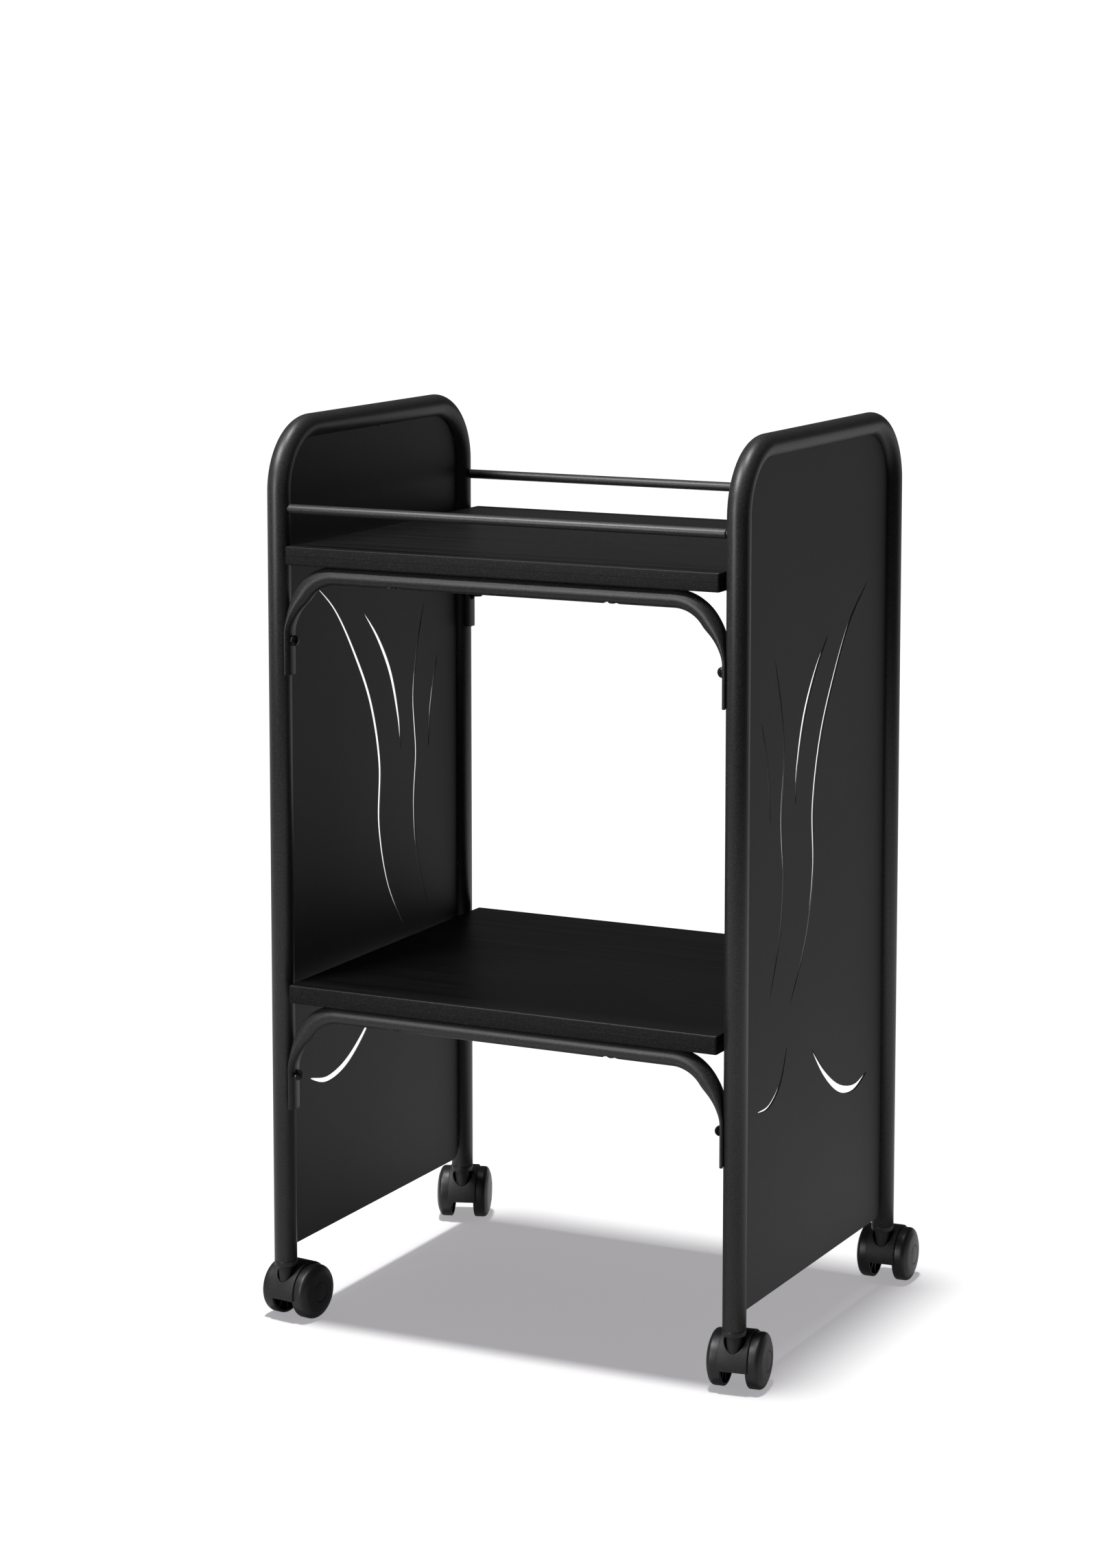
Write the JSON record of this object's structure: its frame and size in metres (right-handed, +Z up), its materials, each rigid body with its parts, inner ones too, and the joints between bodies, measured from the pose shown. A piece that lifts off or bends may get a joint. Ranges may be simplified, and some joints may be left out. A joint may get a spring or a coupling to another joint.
{
  "type": "food service trolley",
  "caption": "Black two-shelf serving trolley: bent-tube side frames with cut sheet panels, guard rails over the upper shelf and hooded twin-wheel swivel casters.",
  "frame": {"origin": "on the floor, under the middle of the whole trolley with its casters trailing to the rear", "axes": "+Z up, +X from the left side frame to the right one, +Y from the front to the rear"},
  "size_m": [0.4891, 0.388, 0.795],
  "materials": {
    "frame_powder_coat": "fine-grained satin black powder coat on steel tube",
    "panel_powder_coat": "fine-grained satin black powder coat on steel sheet",
    "black_board": "black-stained board with a soft satin sheen and a faint grain",
    "caster_nylon": "semi-gloss black moulded nylon",
    "hood_grained_nylon": "matt black nylon with a fine pebbled grain",
    "blackened_steel": "blackened steel pan-head screws",
    "zinc_plated_steel": "bright zinc plated steel"
  },
  "bodies": {
    "root": {"left_side_frame": "frame_powder_coat", "left_side_panel": "panel_powder_coat", "right_side_frame": "frame_powder_coat", "right_side_panel": "panel_powder_coat", "upper_shelf": "black_board", "lower_shelf": "black_board", "front_upper_bracket": "frame_powder_coat", "front_lower_bracket": "frame_powder_coat", "front_guard_rail": "frame_powder_coat", "rear_upper_bracket": "frame_powder_coat", "rear_lower_bracket": "frame_powder_coat", "rear_guard_rail": "frame_powder_coat", "front_left_upper_leg_screw": "blackened_steel", "front_left_upper_shelf_screw": "blackened_steel", "front_left_lower_leg_screw": "blackened_steel", "front_left_lower_shelf_screw": "blackened_steel", "front_right_upper_leg_screw": "blackened_steel", "front_right_upper_shelf_screw": "blackened_steel", "front_right_lower_leg_screw": "blackened_steel", "front_right_lower_shelf_screw": "blackened_steel", "rear_left_upper_leg_screw": "blackened_steel", "rear_left_upper_shelf_screw": "blackened_steel", "rear_left_lower_leg_screw": "blackened_steel", "rear_left_lower_shelf_screw": "blackened_steel", "rear_right_upper_leg_screw": "blackened_steel", "rear_right_upper_shelf_screw": "blackened_steel", "rear_right_lower_leg_screw": "blackened_steel", "rear_right_lower_shelf_screw": "blackened_steel", "front_left_caster_socket": "caster_nylon", "front_left_caster_stem": "zinc_plated_steel", "front_right_caster_socket": "caster_nylon", "front_right_caster_stem": "zinc_plated_steel", "rear_right_caster_socket": "caster_nylon", "rear_right_caster_stem": "zinc_plated_steel", "rear_left_caster_socket": "caster_nylon", "rear_left_caster_stem": "zinc_plated_steel"},
    "front_left_swivel": {"front_left_caster_housing": "hood_grained_nylon", "front_left_caster_axle": "zinc_plated_steel"},
    "front_left_left_wheel_body": {"front_left_left_wheel": "caster_nylon", "front_left_left_hub_cap": "caster_nylon"},
    "front_left_right_wheel_body": {"front_left_right_wheel": "caster_nylon", "front_left_right_hub_cap": "caster_nylon"},
    "front_right_swivel": {"front_right_caster_housing": "hood_grained_nylon", "front_right_caster_axle": "zinc_plated_steel"},
    "front_right_left_wheel_body": {"front_right_left_wheel": "caster_nylon", "front_right_left_hub_cap": "caster_nylon"},
    "front_right_right_wheel_body": {"front_right_right_wheel": "caster_nylon", "front_right_right_hub_cap": "caster_nylon"},
    "rear_right_swivel": {"rear_right_caster_housing": "hood_grained_nylon", "rear_right_caster_axle": "zinc_plated_steel"},
    "rear_right_left_wheel_body": {"rear_right_left_wheel": "caster_nylon", "rear_right_left_hub_cap": "caster_nylon"},
    "rear_right_right_wheel_body": {"rear_right_right_wheel": "caster_nylon", "rear_right_right_hub_cap": "caster_nylon"},
    "rear_left_swivel": {"rear_left_caster_housing": "hood_grained_nylon", "rear_left_caster_axle": "zinc_plated_steel"},
    "rear_left_left_wheel_body": {"rear_left_left_wheel": "caster_nylon", "rear_left_left_hub_cap": "caster_nylon"},
    "rear_left_right_wheel_body": {"rear_left_right_wheel": "caster_nylon", "rear_left_right_hub_cap": "caster_nylon"}
  },
  "joints": [
    {"name": "front_left_swivel_turn", "type": "hinge", "parent": "root", "child": "front_left_swivel", "pos_m": [-0.215, -0.18, 0.0492], "axis": [0, 0, 1], "continuous": true},
    {"name": "front_left_left_wheel_spin", "type": "hinge", "parent": "front_left_swivel", "child": "front_left_left_wheel_body", "pos_m": [-0.21263, -0.16317, 0.024], "axis": [0.9903, -0.1392, 0], "continuous": true},
    {"name": "front_left_right_wheel_spin", "type": "hinge", "parent": "front_left_swivel", "child": "front_left_right_wheel_body", "pos_m": [-0.21263, -0.16317, 0.024], "axis": [0.9903, -0.1392, 0], "continuous": true},
    {"name": "front_right_swivel_turn", "type": "hinge", "parent": "root", "child": "front_right_swivel", "pos_m": [0.215, -0.18, 0.0492], "axis": [0, 0, 1], "continuous": true},
    {"name": "front_right_left_wheel_spin", "type": "hinge", "parent": "front_right_swivel", "child": "front_right_left_wheel_body", "pos_m": [0.21278, -0.16315, 0.024], "axis": [0.9914, 0.1305, 0], "continuous": true},
    {"name": "front_right_right_wheel_spin", "type": "hinge", "parent": "front_right_swivel", "child": "front_right_right_wheel_body", "pos_m": [0.21278, -0.16315, 0.024], "axis": [0.9914, 0.1305, 0], "continuous": true},
    {"name": "rear_right_swivel_turn", "type": "hinge", "parent": "root", "child": "rear_right_swivel", "pos_m": [0.215, 0.151, 0.0492], "axis": [0, 0, 1], "continuous": true},
    {"name": "rear_right_left_wheel_spin", "type": "hinge", "parent": "rear_right_swivel", "child": "rear_right_left_wheel_body", "pos_m": [0.21396, 0.16797, 0.024], "axis": [0.9981, 0.061, 0], "continuous": true},
    {"name": "rear_right_right_wheel_spin", "type": "hinge", "parent": "rear_right_swivel", "child": "rear_right_right_wheel_body", "pos_m": [0.21396, 0.16797, 0.024], "axis": [0.9981, 0.061, 0], "continuous": true},
    {"name": "rear_left_swivel_turn", "type": "hinge", "parent": "root", "child": "rear_left_swivel", "pos_m": [-0.215, 0.151, 0.0492], "axis": [0, 0, 1], "continuous": true},
    {"name": "rear_left_left_wheel_spin", "type": "hinge", "parent": "rear_left_swivel", "child": "rear_left_left_wheel_body", "pos_m": [-0.22081, 0.16698, 0.024], "axis": [0.9397, 0.342, 0], "continuous": true},
    {"name": "rear_left_right_wheel_spin", "type": "hinge", "parent": "rear_left_swivel", "child": "rear_left_right_wheel_body", "pos_m": [-0.22081, 0.16698, 0.024], "axis": [0.9397, 0.342, 0], "continuous": true}
  ]
}
